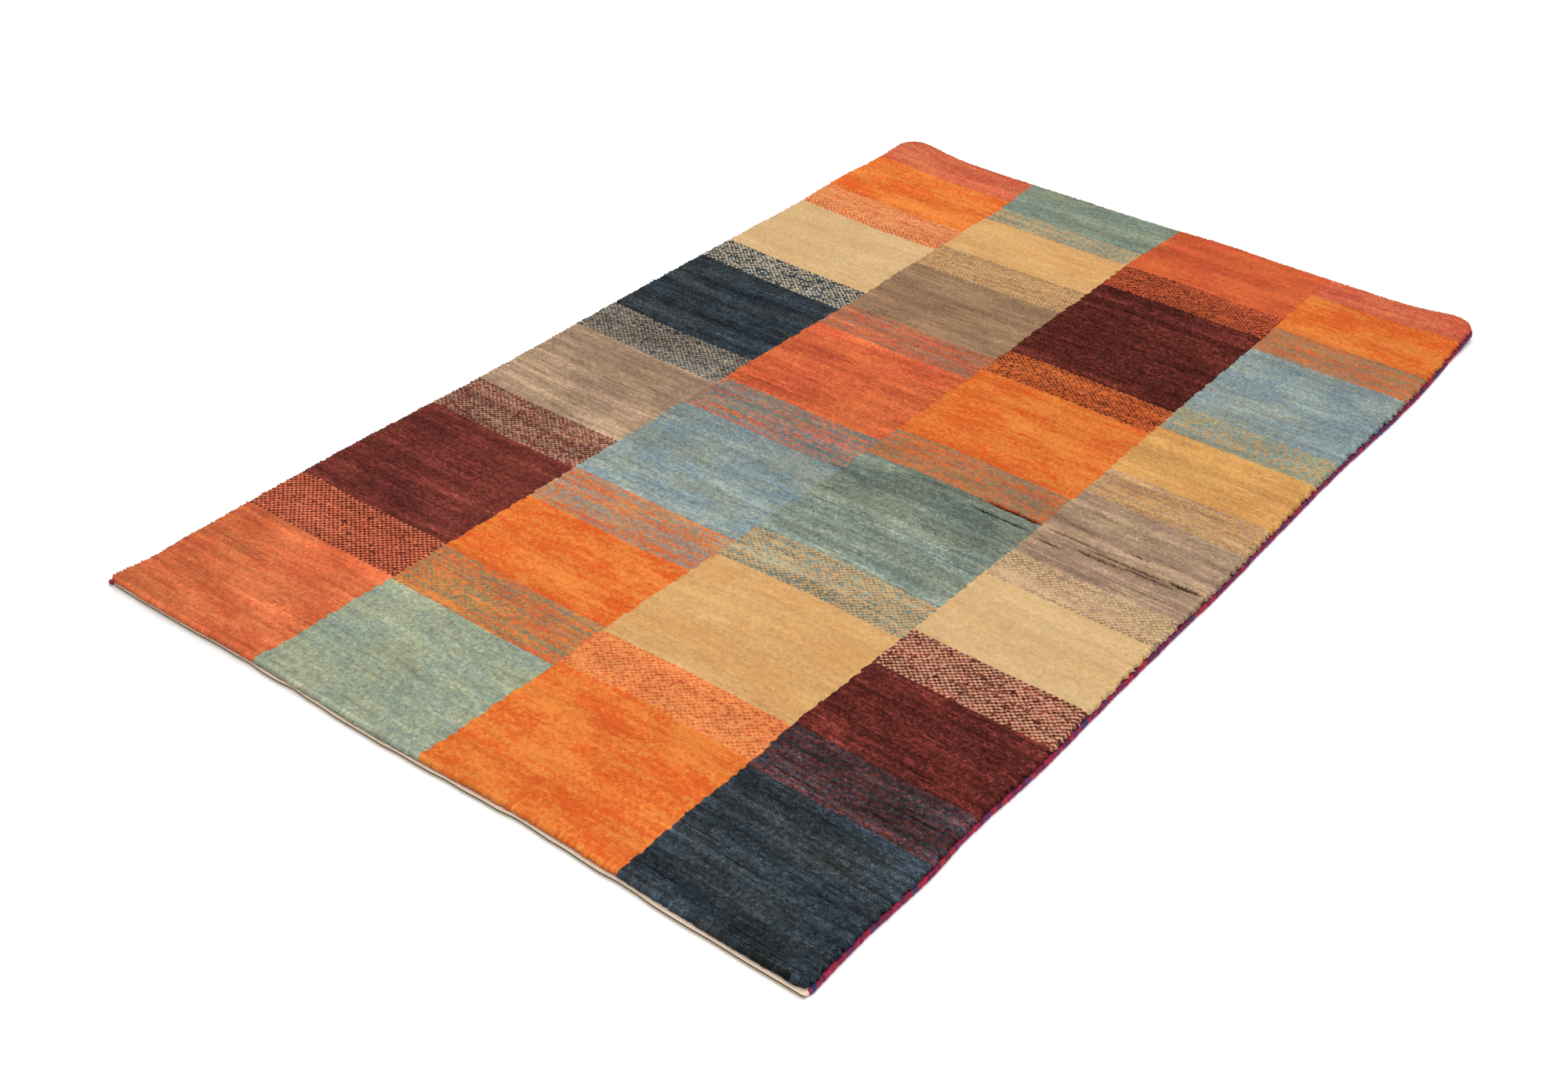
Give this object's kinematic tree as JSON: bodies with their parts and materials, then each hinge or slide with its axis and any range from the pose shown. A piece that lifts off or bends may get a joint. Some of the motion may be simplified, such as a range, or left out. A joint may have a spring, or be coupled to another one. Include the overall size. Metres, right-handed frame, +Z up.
{
  "type": "hand-knotted lori pile rug",
  "caption": "Flat oblong knotted wool rug with staggered plain colour blocks, cream turned hems at the ends and wrapped cords along the sides.",
  "frame": {"origin": "middle of the rug's outline, on the floor that it lies on", "axes": "+X across the rug to its right side, +Y along it to its far end, +Z up out of the pile"},
  "size_m": [0.8212, 1.3576, 0.0173],
  "materials": {
    "rug_wool": "short cut wool pile in rust, maroon, taupe, navy, cream, orange, rose, sage green, grey blue and gold blocks",
    "left_edge_wool": "matt wool yarn wrapped over the edge, crimson with dark blue and purple runs",
    "right_edge_wool": "matt wool yarn wrapped over the edge, crimson with dark blue and purple runs"
  },
  "bodies": {
    "root": {"knotted_rug": "rug_wool", "overcast_edge_left": "left_edge_wool", "overcast_edge_right": "right_edge_wool"}
  },
  "joints": []
}
